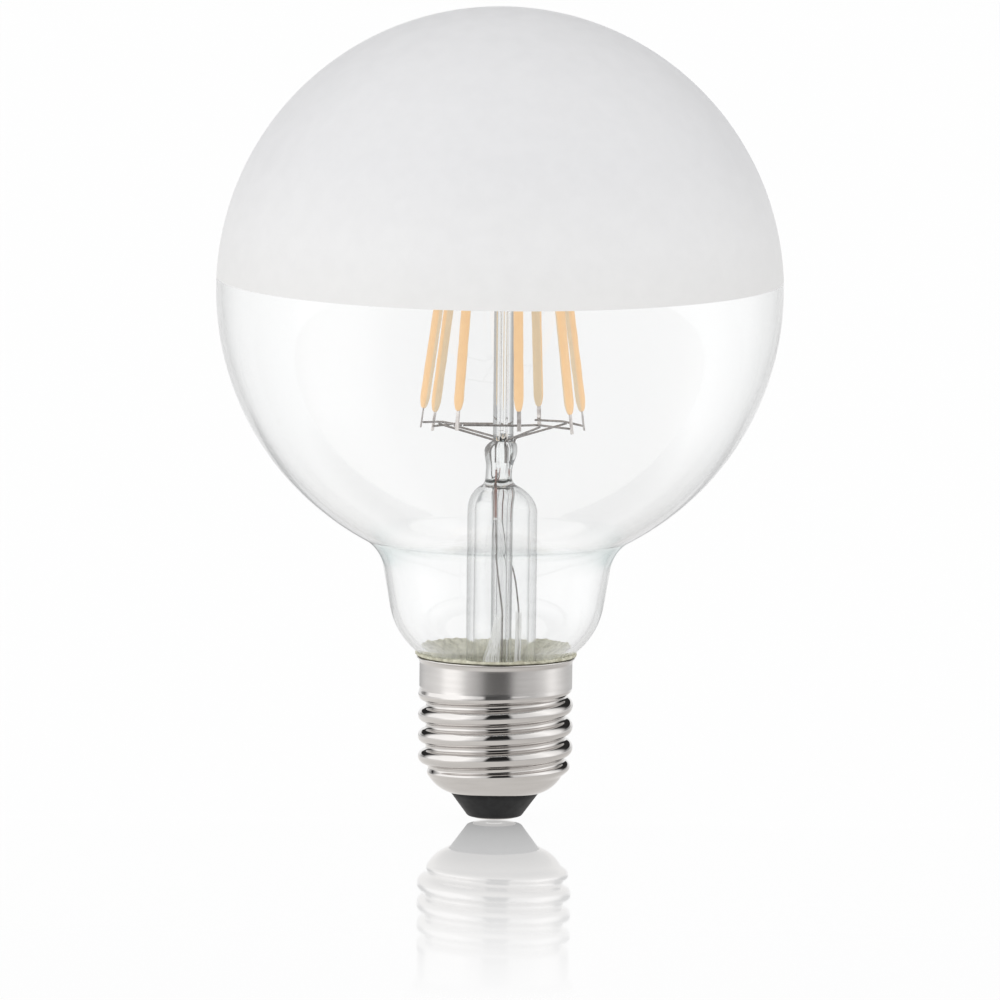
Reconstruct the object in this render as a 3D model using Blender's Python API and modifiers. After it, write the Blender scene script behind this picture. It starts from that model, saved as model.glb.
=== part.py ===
"""A globe lamp with a clear and frosted glass envelope, a screw cap, a glass stem
and a cage of eight LED filaments.

Metres, +Z up.  The origin is the middle of the flat centre contact, the lowest face.
The stem and all that it carries stand a little to +X of the envelope's own axis.
"""
import math

import bmesh
import bpy
from mathutils import Matrix, Vector

# Screw cap
CAP_HEIGHT = 0.0273
BAND_RADIUS = 0.01245
BAND_LENGTH = 0.0051
LIP_FLARE = 0.00071
LIP_ANGLE = math.radians(60)
SHELL_WALL = 0.00035
THREAD_CREST_RADIUS = 0.01262
THREAD_DEPTH = 0.00133
THREAD_PITCH = 0.00355
THREAD_START = 0.0190
THREAD_LEAD_IN = 0.0019
THREAD_REACH = 0.0039
THREAD_RUN_OUT = 0.0015
BOWL_HOLE_RADIUS = 0.0076
BOWL_BEND_RADIUS = 0.0080
BOWL_EDGE_ANGLE = math.radians(65)
BOWL_SIDE_ANGLE = math.radians(44)

# Black insulator under the cap, and the centre contact riveted through it
INSULATOR_HEIGHT = 0.0042
INSULATOR_PROUD = 0.0002
INSULATOR_FOOT_RADIUS = 0.0049
INSULATOR_FOOT_BEND = 0.0009
INSULATOR_NECK_RADIUS = 0.00725
INSULATOR_FLANGE = 0.0018
INSULATOR_FLANGE_HEIGHT = 0.0012
INSULATOR_COLLAR = 0.0004
CONTACT_RADIUS = 0.0036
CONTACT_THICKNESS = 0.0005
CONTACT_FLOOR = 0.0010
CONTACT_EDGE = 0.00015
EYELET_RADIUS = 0.0011
EYELET_WALL = 0.00055
EYELET_RISE = 0.0008

# Envelope: globe, neck and seal, one piece of blown glass
GLOBE_DIAMETER = 0.0950
GLASS_WALL = 0.0010
SHOULDER_BEND_RADIUS = 0.0070
NECK_LENGTH = 0.00629
NECK_TAPER = math.radians(9.7)
FOOT_BEND_RADIUS = 0.0130
FOOT_ANGLE = math.radians(50)
FOOT_LENGTH = 0.0030
SEAL_BEND_RADIUS = 0.0022
CEMENT_SPACE = 0.00171

# Stem: a flared glass tube, pinched flat at the top round the wires that it carries
STEM_OFFSET = 0.0008
FLARE_RADIUS = 0.00585
FLARE_WALL = 0.0011
FLARE_LENGTH = 0.0277
SKIRT_ANGLE = math.radians(50)
DOME_BEND_RADIUS = 0.0050
DOME_ANGLE = math.radians(62)
CEILING_BEND_RADIUS = 0.0036
WAIST_WIDTH = 0.0044
WAIST_DEPTH = 0.0064
WAIST_LENGTH = 0.00205
WAIST_SWAY = 0.0007
BULGE_WIDTH = 0.0055
BULGE_DEPTH = 0.0067
BULGE_ANGLE = math.radians(25)
BULGE_BEND_RADIUS = 0.0020
PINCH_TOP_BEND = 0.0016
BORE_BRIDGE = 0.0006

# Exhaust tube under the pinch, and the post above it
EXHAUST_RADIUS = 0.00175
EXHAUST_WALL = 0.00085
EXHAUST_TIP_DROP = 0.0042
BORE_SPARE = 0.00004
POST_RADIUS = 0.00173
POST_WALL = 0.0007
POST_BEAD_RADIUS = 0.0026
POST_BEAD_BEND = 0.0010
ANCHOR_SOCKET = 0.0015

# Filament cage.  The ring of feet is tipped, so that its front stands higher.
FILAMENT_LENGTH = 0.0340
FILAMENT_RADIUS = 0.00082
FILAMENT_TIP_RADIUS = 0.00042
FILAMENT_TAPER = 0.0018
PIN_LENGTH = 0.0030
PIN_WIDTH = 0.0007
PIN_THICKNESS = 0.00025
PIN_TAIL = 0.0009
CAGE_RISE = 0.00265
FOOT_RING_RADIUS = 0.01375
FILAMENT_LEAN = math.radians(7.9)
CAGE_TILT = math.radians(6.2)
WIRE_RADIUS = 0.00019
BAR_TAIL = 0.0006
LONG_TAIL = 0.0092
KNEE_LIFT = 0.0003
SUPPORT_TAIL = 0.0006
SUPPORT_RISE = 0.0002

# Wires and sleeves inside the stem
SEAL_WIRE_LENGTH = 0.0089
LEAD_WIRE_RADIUS = 0.00015
SLEEVE_WALL = 0.0002
SLEEVE_LENGTH = 0.0165
SLEEVE_TOP = 0.0349
SLEEVE_SPREAD = 3.9
LEAD_BEND_HEIGHT = 0.0424

# Driver in the cap
BOARD_RISE = 0.0002
BOARD_THICKNESS = 0.0012
CAPACITOR_RADIUS = 0.0025
CAPACITOR_HEIGHT = 0.0044
CHIP_LENGTH = 0.0049
CHIP_WIDTH = 0.0039
CHIP_HEIGHT = 0.0015
CHIP_AHEAD = 0.0029
CHIP_ASIDE = 0.0064
CAPACITOR_ASIDE = 0.0054
DRIVER_HEADROOM = 0.00133
SUPPLY_WIRE_RADIUS = 0.00025
SHELL_WIRE_BEARING = math.radians(135)
SHELL_WIRE_SETBACK = 0.0013
SHELL_WIRE_BEND = 0.0006
SHELL_WIRE_DROP = 0.0008

# Fits, and how finely round pieces are drawn
CLEARANCE = 0.0003
GLOBE_SIDES = 32
CAP_SIDES = 30
TUBE_SIDES = 20
SMALL_SIDES = 12
ROWS_PER_PITCH = 7
BEND_STEP = math.radians(10)

# Where each filament was welded by hand: bearing of its foot, bearing of its head,
# both anticlockwise from +X seen from above, and how far it sits above the ring.
FILAMENTS = {
    1: (math.radians(184), math.radians(181), 0.0003),
    2: (math.radians(149), math.radians(146), -0.0004),
    3: (math.radians(236), math.radians(233), 0.0),
    4: (math.radians(281), math.radians(284), 0.0),
    5: (math.radians(64), math.radians(56), 0.0007),
    6: (math.radians(326), math.radians(330), -0.0005),
    7: (math.radians(12), math.radians(6), 0.0),
    8: (math.radians(92), math.radians(96), 0.0),
}
# Each bar joins two feet.  The support meets it at a knee, this share of the way along,
# and comes out of the pinch at this bearing.
BARS = {
    1: (1, 3, 0.49, math.radians(238)),
    2: (2, 8, 0.32, math.radians(114)),
    3: (6, 4, 0.61, math.radians(278)),
    4: (7, 5, 0.39, math.radians(35)),
}
LONG_BAR = 3
# Each link joins two heads, so that two filaments stand in series between two bars.
LINKS = {1: (3, 4), 2: (6, 7), 3: (5, 8), 4: (2, 1)}
# Bearing of each seal wire, then those where its lead bends and where it ends.
SEAL_WIRES = {
    "left": (math.radians(242), math.radians(257), math.radians(273)),
    "right": (math.radians(90), math.radians(48), math.radians(10)),
}

# Sizes that follow from those above
GLOBE_RADIUS = GLOBE_DIAMETER / 2
BAND_INNER = BAND_RADIUS - SHELL_WALL
BAND_FOOT = CAP_HEIGHT - BAND_LENGTH
THREAD_MEAN_RADIUS = THREAD_CREST_RADIUS - THREAD_DEPTH / 2
THREAD_ROOT_INNER = THREAD_CREST_RADIUS - THREAD_DEPTH - SHELL_WALL
BOWL_HEIGHT = INSULATOR_PROUD + INSULATOR_HEIGHT
BOWL_SIDE_RADIUS = BOWL_HOLE_RADIUS + BOWL_BEND_RADIUS * (math.cos(BOWL_SIDE_ANGLE)
                                                        - math.cos(BOWL_EDGE_ANGLE))
BOWL_SIDE_BEND = (THREAD_MEAN_RADIUS - BOWL_SIDE_RADIUS) / (1 - math.cos(BOWL_SIDE_ANGLE))
THREAD_FOOT = (BOWL_HEIGHT + BOWL_SIDE_BEND * math.sin(BOWL_SIDE_ANGLE)
               + BOWL_BEND_RADIUS * (math.sin(BOWL_EDGE_ANGLE) - math.sin(BOWL_SIDE_ANGLE)))
BOARD_HEIGHT = THREAD_FOOT + BOARD_RISE
BOARD_TOP = BOARD_HEIGHT + BOARD_THICKNESS
SEAL_RADIUS = BAND_INNER - CEMENT_SPACE
SEAL_HEIGHT = BOARD_TOP + CLEARANCE + CAPACITOR_HEIGHT + DRIVER_HEADROOM
SKIRT_RADIUS = SEAL_RADIUS - GLASS_WALL - STEM_OFFSET - CLEARANCE
BORE_RADIUS = WIRE_RADIUS + CLEARANCE
BORE_RING = max(POST_RADIUS, EXHAUST_RADIUS) + CLEARANCE + WIRE_RADIUS + BORE_SPARE
PIN_TO_BAR = PIN_THICKNESS / 2 + CLEARANCE + WIRE_RADIUS
CROSSING = 2 * WIRE_RADIUS + CLEARANCE


def share(value, low, high):
    """How far a value has come from low to high, eased at both ends."""
    part = min(max((value - low) / (high - low), 0.0), 1.0)
    return part * part * (3 - 2 * part)


class Outline:
    """A profile walked in the plane of radius and height.

    The heading is the angle from straight up, positive outwards.
    """

    def __init__(self, radius, height, heading=0.0):
        self.points = [(radius, height)]
        self.heading = heading

    def ahead(self, length):
        radius, height = self.points[-1]
        self.points.append((radius + length * math.sin(self.heading),
                            height + length * math.cos(self.heading)))

    def to(self, radius, height):
        self.points.append((radius, height))

    def bend(self, bend_radius, heading, step=BEND_STEP):
        """Follow an arc until the walk points along the new heading."""
        radius, height = self.points[-1]
        turn = heading - self.heading
        reach = math.copysign(bend_radius, turn)
        centre_radius = radius + reach * math.cos(self.heading)
        centre_height = height - reach * math.sin(self.heading)
        count = max(1, round(abs(turn) / step))
        for number in range(1, count + 1):
            angle = self.heading + turn * number / count
            self.points.append((centre_radius - reach * math.cos(angle),
                                centre_height + reach * math.sin(angle)))
        self.heading = heading

    def ball(self, bend_radius, ball_radius, step=BEND_STEP):
        """Widen from a tube into a ball whose centre is on the axis, up to its pole."""
        reach = self.points[-1][0] + bend_radius * math.cos(self.heading)
        self.bend(bend_radius, math.acos(reach / (ball_radius + bend_radius)), step)
        self.bend(ball_radius, -math.pi / 2, step)
        self.points[-1] = (0.0, self.points[-1][1])

    @property
    def end(self):
        return self.points[-1]

    def downwards(self):
        return self.points[::-1]


def clear_scene():
    for item in list(bpy.data.objects):
        bpy.data.objects.remove(item, do_unlink=True)


def new_collection(name):
    collection = bpy.data.collections.new(name)
    bpy.context.scene.collection.children.link(collection)
    return collection


def principled(name, colour, roughness, metallic=0.0, transmission=0.0, ior=1.5):
    material = bpy.data.materials.new(name)
    material.use_nodes = True
    shader = material.node_tree.nodes["Principled BSDF"]
    shader.inputs["Base Color"].default_value = (*colour, 1.0)
    shader.inputs["Roughness"].default_value = roughness
    shader.inputs["Metallic"].default_value = metallic
    shader.inputs["Transmission Weight"].default_value = transmission
    shader.inputs["IOR"].default_value = ior
    material.diffuse_color = (*colour, 1.0)
    return material


def add(name, data, material):
    piece = bpy.data.objects.new(name, data)
    if not data.materials:
        data.materials.append(material)
    parts.objects.link(piece)
    return piece


def turned(name, profile, material, sides, closed=False, place=(0.0, 0.0)):
    """Revolve a profile that runs down its outer side about the vertical at a place."""
    mesh = bpy.data.meshes.new(name)
    edges = [(number, number + 1) for number in range(len(profile) - 1)]
    if closed:
        edges.append((len(profile) - 1, 0))
    mesh.from_pydata([(radius, 0.0, height) for radius, height in profile], edges, [])
    piece = add(name, mesh, material)
    piece.location.xy = place
    screw = piece.modifiers.new("turn", "SCREW")
    screw.steps = sides
    screw.render_steps = sides
    screw.use_merge_vertices = True
    screw.merge_threshold = 0.00001
    return piece


def frozen(piece):
    """Keep the object's evaluated mesh in place of its modifiers."""
    graph = bpy.context.evaluated_depsgraph_get()
    mesh = bpy.data.meshes.new_from_object(piece.evaluated_get(graph))
    piece.modifiers.clear()
    piece.data = mesh
    return mesh


def wire(name, points, radius, material):
    curve = bpy.data.curves.new(name, "CURVE")
    curve.dimensions = "3D"
    curve.bevel_depth = radius
    curve.bevel_resolution = 2
    curve.use_fill_caps = True
    spline = curve.splines.new("POLY")
    spline.points.add(len(points) - 1)
    for point, place in zip(spline.points, points):
        point.co = (*place, 1.0)
    return add(name, curve, material)


def eased(points, pieces):
    """A smooth path through the points, with each stretch cut into this many pieces."""
    ends = [points[0], *points, points[-1]]
    path = [points[0]]
    for before, start, stop, after in zip(ends, ends[1:], ends[2:], ends[3:]):
        for number in range(1, pieces + 1):
            t = number / pieces
            path.append(0.5 * (2 * start + (stop - before) * t
                               + (2 * before - 5 * start + 4 * stop - after) * t ** 2
                               + (3 * start - before - 3 * stop + after) * t ** 3))
    return path


def box(name, size, centre, material):
    mesh = bpy.data.meshes.new(name)
    shape = bmesh.new()
    bmesh.ops.create_cube(shape, size=1.0, matrix=Matrix.Diagonal((*size, 1.0)))
    shape.to_mesh(mesh)
    shape.free()
    piece = add(name, mesh, material)
    piece.location = centre
    return piece


def drill(piece, name, bores):
    """Cut round bores of one radius, each given by the two ends of its axis."""
    mesh = bpy.data.meshes.new(name)
    shape = bmesh.new()
    for start, stop in bores:
        along = stop - start
        turn = along.to_track_quat("Z", "Y").to_matrix().to_4x4()
        bmesh.ops.create_cone(shape, cap_ends=True, segments=SMALL_SIDES,
                              radius1=BORE_RADIUS, radius2=BORE_RADIUS, depth=along.length,
                              matrix=Matrix.Translation((start + stop) / 2) @ turn)
    shape.to_mesh(mesh)
    shape.free()
    cutter = bpy.data.objects.new(name, mesh)
    cutters.objects.link(cutter)
    cutter.hide_render = True
    cutter.display_type = "WIRE"
    cut = piece.modifiers.new("bores", "BOOLEAN")
    cut.operation = "DIFFERENCE"
    cut.object = cutter


def at_stem(radius, bearing, height):
    """A point round the stem's own axis."""
    return Vector((STEM_OFFSET + radius * math.cos(bearing), radius * math.sin(bearing),
                   height))


def on_cage(radius, bearing, height):
    """A point on a ring of the cage, which is tipped up at the front."""
    point = at_stem(radius, bearing, height)
    point.z -= point.y * math.tan(CAGE_TILT)
    return point


def bowl_walk():
    """The underside of the cap, from the edge of its hole up to the thread."""
    walk = Outline(BOWL_HOLE_RADIUS, BOWL_HEIGHT, BOWL_EDGE_ANGLE)
    walk.bend(BOWL_BEND_RADIUS, BOWL_SIDE_ANGLE)
    walk.bend(BOWL_SIDE_BEND, 0.0, THREAD_PITCH / ROWS_PER_PITCH / BOWL_SIDE_BEND)
    return walk


def cap_shell(material):
    """The rolled thread shell: one sheet, turned, then swelled along a right-hand helix."""
    walk = bowl_walk()
    rows = round((BAND_FOOT - THREAD_FOOT) / (THREAD_PITCH / ROWS_PER_PITCH))
    for number in range(1, rows + 1):
        height = THREAD_FOOT + (BAND_FOOT - THREAD_FOOT) * number / rows
        widen = share(height, BAND_FOOT - THREAD_LEAD_IN, BAND_FOOT)
        walk.to(THREAD_MEAN_RADIUS + (BAND_RADIUS - THREAD_MEAN_RADIUS) * widen, height)
    lip_bend = LIP_FLARE / (1 - math.cos(LIP_ANGLE))
    walk.to(BAND_RADIUS, CAP_HEIGHT - lip_bend * math.sin(LIP_ANGLE))
    walk.bend(lip_bend, LIP_ANGLE, 2 * BEND_STEP)

    shell = turned("cap_shell", walk.downwards(), material, CAP_SIDES)
    for vertex in frozen(shell).vertices:
        radius = math.hypot(vertex.co.x, vertex.co.y)
        height = vertex.co.z
        turns = (height - THREAD_START) / THREAD_PITCH
        turns -= math.atan2(vertex.co.y, vertex.co.x) / (2 * math.pi)
        depth = THREAD_DEPTH / 2 * share(height, THREAD_FOOT - THREAD_REACH,
                                         THREAD_FOOT - THREAD_REACH + THREAD_RUN_OUT)
        depth *= 1 - share(height, BAND_FOOT - THREAD_LEAD_IN, BAND_FOOT)
        swell = 1 + depth * math.cos(2 * math.pi * turns) / radius
        vertex.co.x *= swell
        vertex.co.y *= swell
    wall = shell.modifiers.new("sheet", "SOLIDIFY")
    wall.thickness = SHELL_WALL
    wall.offset = -1


def cap_insulator(material):
    """Black glass-like plug with a flange that sits on the inside of the cap's bowl."""
    slope = math.atan2(INSULATOR_NECK_RADIUS - INSULATOR_FOOT_RADIUS, INSULATOR_HEIGHT)
    walk = Outline(INSULATOR_FOOT_RADIUS - INSULATOR_FOOT_BEND, INSULATOR_PROUD,
                   math.pi / 2)
    walk.bend(INSULATOR_FOOT_BEND, slope, 2 * BEND_STEP)
    walk.to(INSULATOR_NECK_RADIUS, BOWL_HEIGHT - INSULATOR_COLLAR)
    seat = BOWL_HEIGHT + (SHELL_WALL + CLEARANCE) / math.sin(BOWL_EDGE_ANGLE)
    walk.to(INSULATOR_NECK_RADIUS, seat)
    flange_bend = (BOWL_EDGE_ANGLE + BOWL_SIDE_ANGLE) / 2
    walk.to(INSULATOR_NECK_RADIUS + INSULATOR_FLANGE,
            seat + INSULATOR_FLANGE / math.tan(flange_bend))
    top = walk.end[1] + INSULATOR_FLANGE_HEIGHT
    walk.to(INSULATOR_NECK_RADIUS + INSULATOR_FLANGE, top)
    walk.to(EYELET_RADIUS + CLEARANCE, top)
    recess = CONTACT_THICKNESS + CLEARANCE
    walk.to(EYELET_RADIUS + CLEARANCE, recess)
    walk.to(CONTACT_RADIUS + CLEARANCE, recess)
    walk.to(CONTACT_RADIUS + CLEARANCE, INSULATOR_PROUD)
    turned("cap_insulator", walk.downwards(), material, TUBE_SIDES, closed=True)
    return top


def centre_contact(material, insulator_top):
    """Disc that stands just proud of the insulator, drawn up into a hollow eyelet."""
    bore = EYELET_RADIUS - EYELET_WALL
    top = insulator_top + EYELET_RISE
    profile = [
        (0.0, CONTACT_FLOOR),
        (bore, CONTACT_FLOOR),
        (bore, top),
        (EYELET_RADIUS, top),
        (EYELET_RADIUS, CONTACT_THICKNESS),
        (CONTACT_RADIUS, CONTACT_THICKNESS),
        (CONTACT_RADIUS, CONTACT_EDGE),
        (CONTACT_RADIUS - CONTACT_EDGE, 0.0),
        (0.0, 0.0),
    ]
    turned("centre_contact", profile, material, TUBE_SIDES)


def seal_bend_height():
    """Height where the neck leaves the seal, so that its foot just clears the cap's lip."""
    lip_inner = BAND_RADIUS + LIP_FLARE - SHELL_WALL
    foot_radius = SEAL_RADIUS + SEAL_BEND_RADIUS * (1 - math.cos(FOOT_ANGLE))
    foot_rise = SEAL_BEND_RADIUS * math.sin(FOOT_ANGLE)
    foot_rise += (lip_inner - CLEARANCE - foot_radius) / math.tan(FOOT_ANGLE)
    return CAP_HEIGHT - foot_rise


def glass_globe(material):
    walk = Outline(SEAL_RADIUS, SEAL_HEIGHT)
    walk.ahead(seal_bend_height() - SEAL_HEIGHT)
    walk.bend(SEAL_BEND_RADIUS, FOOT_ANGLE)
    walk.ahead(FOOT_LENGTH)
    walk.bend(FOOT_BEND_RADIUS, NECK_TAPER)
    walk.ahead(NECK_LENGTH)
    walk.ball(SHOULDER_BEND_RADIUS, GLOBE_RADIUS)
    globe = turned("glass_globe", walk.downwards(), material, GLOBE_SIDES)
    wall = globe.modifiers.new("blown wall", "SOLIDIFY")
    wall.thickness = GLASS_WALL
    wall.offset = -1


def cap_cement(material):
    """Ring of cement that fills the space between the seal and the cap's band."""
    outer = BAND_INNER - CLEARANCE
    foot = BAND_FOOT + CLEARANCE
    walk = Outline(SEAL_RADIUS + CLEARANCE, foot)
    walk.ahead(seal_bend_height() - foot)
    walk.bend(SEAL_BEND_RADIUS - CLEARANCE, FOOT_ANGLE)
    inner = [point for point in walk.points if point[0] < outer - CLEARANCE]
    profile = [(outer, inner[-1][1]), (outer, foot), *inner]
    turned("cap_cement", profile, material, TUBE_SIDES, closed=True)


def skirt_walk(rim_radius, tube_radius):
    """The flare at the foot of the stem, from its rim up into the straight tube."""
    walk = Outline(rim_radius, SEAL_HEIGHT, -SKIRT_ANGLE)
    walk.bend((rim_radius - tube_radius) / (1 - math.cos(SKIRT_ANGLE)), 0.0)
    walk.ahead(FLARE_LENGTH)
    return walk


def stem_flare(material):
    """Flared tube, domed and pinched.  Returns the heights that other pieces seat on."""
    walk = skirt_walk(SKIRT_RADIUS, FLARE_RADIUS)
    shoulder = walk.end[1]
    walk.bend(DOME_BEND_RADIUS, -DOME_ANGLE)
    walk.bend((walk.end[0] - WAIST_WIDTH / 2) / (1 - math.cos(DOME_ANGLE)), 0.0)
    waist = walk.end[1]
    walk.ahead(WAIST_LENGTH)
    walk.bend(BULGE_BEND_RADIUS, BULGE_ANGLE)
    walk.bend((BULGE_WIDTH / 2 - walk.end[0]) / (1 - math.cos(BULGE_ANGLE)), 0.0)
    bulge = walk.end[1]
    walk.bend(PINCH_TOP_BEND, -math.pi / 2, 2 * BEND_STEP)
    top = walk.end[1]
    walk.to(0.0, top)

    inner = skirt_walk(SKIRT_RADIUS - FLARE_WALL, FLARE_RADIUS - FLARE_WALL)
    inner.bend(CEILING_BEND_RADIUS, -math.pi / 2, 2 * BEND_STEP)
    ceiling = inner.end[1]
    inner.to(0.0, ceiling)
    stem = turned("stem_flare", [*walk.downwards(), *inner.points], material, TUBE_SIDES)

    flattening = (
        (shoulder, 1.0, 0.0),
        (waist, WAIST_DEPTH / WAIST_WIDTH, -WAIST_SWAY),
        (bulge, BULGE_DEPTH / BULGE_WIDTH, -WAIST_SWAY / 2),
        (top, BULGE_DEPTH / BULGE_WIDTH, 0.0),
    )
    for vertex in frozen(stem).vertices:
        for (low, wide, sway), (high, next_wide, next_sway) in zip(flattening,
                                                                   flattening[1:]):
            if low <= vertex.co.z <= high and vertex.co.z > ceiling:
                part = share(vertex.co.z, low, high)
                vertex.co.y *= wide + (next_wide - wide) * part
                vertex.co.x += sway + (next_sway - sway) * part
                break

    joint = waist + WAIST_LENGTH
    bores = []
    for *_, bearing in BARS.values():
        bores.append((at_stem(BORE_RING, bearing, joint + BORE_BRIDGE / 2),
                      at_stem(BORE_RING, bearing, top + CLEARANCE)))
    for bearing, *_ in SEAL_WIRES.values():
        bores.append((at_stem(BORE_RING, bearing, ceiling - FLARE_WALL),
                      at_stem(BORE_RING, bearing, joint - BORE_BRIDGE / 2)))
    stem.location.x = STEM_OFFSET
    drill(stem, "pinch_bores", bores)
    return ceiling, joint, top


def exhaust_tube(material, ceiling):
    """Tube that the air was drawn out through, melted shut at its lower tip."""
    top = ceiling - CLEARANCE
    tip = SEAL_HEIGHT - EXHAUST_TIP_DROP
    bore = EXHAUST_RADIUS - EXHAUST_WALL
    outer = Outline(0.0, tip, math.pi / 2)
    outer.bend(EXHAUST_RADIUS, 0.0, 2 * BEND_STEP)
    outer.to(EXHAUST_RADIUS, top)
    inner = Outline(0.0, tip + EXHAUST_WALL, math.pi / 2)
    inner.bend(bore, 0.0, 3 * BEND_STEP)
    inner.to(bore, top)
    turned("exhaust_tube", [*inner.points, *outer.downwards()], material, SMALL_SIDES,
           place=(STEM_OFFSET, 0.0))


def centre_post(material, foot, bead_height, sockets):
    """Tube that stands on the pinch and ends in a bead, into which the anchors are melted."""
    outer = Outline(POST_RADIUS, foot)
    neck = math.sqrt((POST_BEAD_RADIUS + POST_BEAD_BEND) ** 2
                     - (POST_RADIUS + POST_BEAD_BEND) ** 2)
    outer.to(POST_RADIUS, bead_height - neck)
    outer.ball(POST_BEAD_BEND, POST_BEAD_RADIUS, 2 * BEND_STEP)
    bore = POST_RADIUS - POST_WALL
    cavity_top = bead_height - POST_BEAD_RADIUS
    inner = [(bore, foot), (bore, cavity_top - bore), (0.0, cavity_top)]
    post = turned("centre_post", [*outer.downwards(), *inner], material, SMALL_SIDES)
    frozen(post)
    post.location.x = STEM_OFFSET
    drill(post, "bead_sockets", sockets)


def filament_profile():
    """The coated strip: a round bar with pointed ends."""
    half = FILAMENT_LENGTH / 2
    walk = Outline(0.0, -half)
    walk.to(FILAMENT_TIP_RADIUS, -half)
    walk.to(FILAMENT_RADIUS, -half + FILAMENT_TAPER)
    walk.to(FILAMENT_RADIUS, half - FILAMENT_TAPER)
    walk.to(FILAMENT_TIP_RADIUS, half)
    walk.to(0.0, half)
    return walk.downwards()


def place_filament(number, foot_height, materials):
    """Stand one filament and its two pins on the line from its foot to its head.

    Returns the two points where its pins are welded.
    """
    foot_bearing, head_bearing, lift = FILAMENTS[number]
    weld_to_body = PIN_LENGTH - PIN_TAIL + CLEARANCE
    weld_to_weld = FILAMENT_LENGTH + 2 * weld_to_body
    head_radius = FOOT_RING_RADIUS - weld_to_weld * math.sin(FILAMENT_LEAN)
    foot = on_cage(FOOT_RING_RADIUS, foot_bearing, foot_height + lift)
    aim = on_cage(head_radius, head_bearing,
                  foot_height + lift + weld_to_weld * math.cos(FILAMENT_LEAN))
    along = (aim - foot).normalized()
    outwards = Vector((math.cos(foot_bearing), math.sin(foot_bearing), 0.0))
    across = along.cross(outwards).normalized()
    frame = Matrix((across.cross(along), across, along)).transposed().to_4x4()

    strip = turned(f"filament_{number}", filament_profile(), materials["phosphor"],
                   SMALL_SIDES)
    strip.matrix_world = Matrix.Translation(foot + along * weld_to_weld / 2) @ frame
    pin_reach = weld_to_weld / 2 + PIN_TAIL - PIN_LENGTH / 2
    for end, side in (("lower", -1), ("upper", 1)):
        pin = box(f"filament_{number}_{end}_pin", (PIN_THICKNESS, PIN_WIDTH, PIN_LENGTH),
                  (0, 0, 0), materials["nickel"])
        middle = foot + along * (weld_to_weld / 2 + side * pin_reach)
        pin.matrix_world = Matrix.Translation(middle) @ frame
    return foot, foot + along * weld_to_weld


def inside_of(weld, bearing):
    """Where a bar or link passes the inner face of a pin."""
    return weld - Vector((math.cos(bearing), math.sin(bearing), 0.0)) * PIN_TO_BAR


def bar_with_support(number, feet, joint, pinch_top, materials):
    """A bar across two feet, and the support that carries it from the pinch."""
    first, second, knee_share, exit_bearing = BARS[number]
    start = inside_of(feet[first], FILAMENTS[first][0])
    stop = inside_of(feet[second], FILAMENTS[second][0])
    knee = start.lerp(stop, knee_share) + Vector((0, 0, KNEE_LIFT))
    points = [start + (start - knee).normalized() * BAR_TAIL, start, knee, stop]
    if number == LONG_BAR:
        points.append(stop + Vector((-LONG_TAIL, 0, 0)))
    else:
        points.append(stop + (stop - knee).normalized() * BAR_TAIL)
    wire(f"lower_bar_{number}", points, WIRE_RADIUS, materials["nickel"])

    below_knee = knee - Vector((0, 0, CROSSING))
    mouth = at_stem(BORE_RING, exit_bearing, pinch_top)
    reach = (below_knee - mouth).normalized()
    wire(f"lower_support_{number}", [
        at_stem(BORE_RING, exit_bearing, joint + BORE_BRIDGE / 2 + CLEARANCE),
        mouth - Vector((0, 0, WIRE_RADIUS)),
        mouth + reach * 2 * WIRE_RADIUS + Vector((0, 0, SUPPORT_RISE)),
        below_knee,
        below_knee + reach * SUPPORT_TAIL,
    ], WIRE_RADIUS, materials["nickel"])


def link_line(number, heads):
    """The two weld points of a link, and the point above its anchor."""
    first, second = LINKS[number]
    start = inside_of(heads[first], FILAMENTS[first][1])
    stop = inside_of(heads[second], FILAMENTS[second][1])
    return start, stop, (start + stop) / 2


def link_with_anchor(number, heads, socket, materials):
    """A link across two heads, and the anchor that carries it from the post's bead."""
    start, stop, middle = link_line(number, heads)
    tail = (stop - start).normalized() * BAR_TAIL
    wire(f"upper_link_{number}", [start - tail, start, middle, stop, stop + tail],
         WIRE_RADIUS, materials["nickel"])
    root, mouth = socket
    outwards = (mouth - root).normalized()
    end = Vector((middle.x, middle.y, mouth.z)) + outwards * SUPPORT_TAIL
    wire(f"upper_anchor_{number}", [root + outwards * CLEARANCE, mouth, end],
         WIRE_RADIUS, materials["nickel"])


def anchor_sockets(heads, bead_height):
    """Bores in the bead, level with the underside of each link."""
    sockets = {}
    for number in LINKS:
        middle = link_line(number, heads)[2]
        height = middle.z - CROSSING
        axis = Vector((STEM_OFFSET, 0.0, height))
        outwards = (middle - axis).to_2d().normalized().to_3d()
        rise = min(abs(height - bead_height), POST_BEAD_RADIUS / 2)
        surface = math.sqrt(POST_BEAD_RADIUS ** 2 - rise ** 2)
        sockets[number] = (axis + outwards * (surface - ANCHOR_SOCKET),
                           axis + outwards * (POST_BEAD_RADIUS + CLEARANCE))
    return sockets


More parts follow.
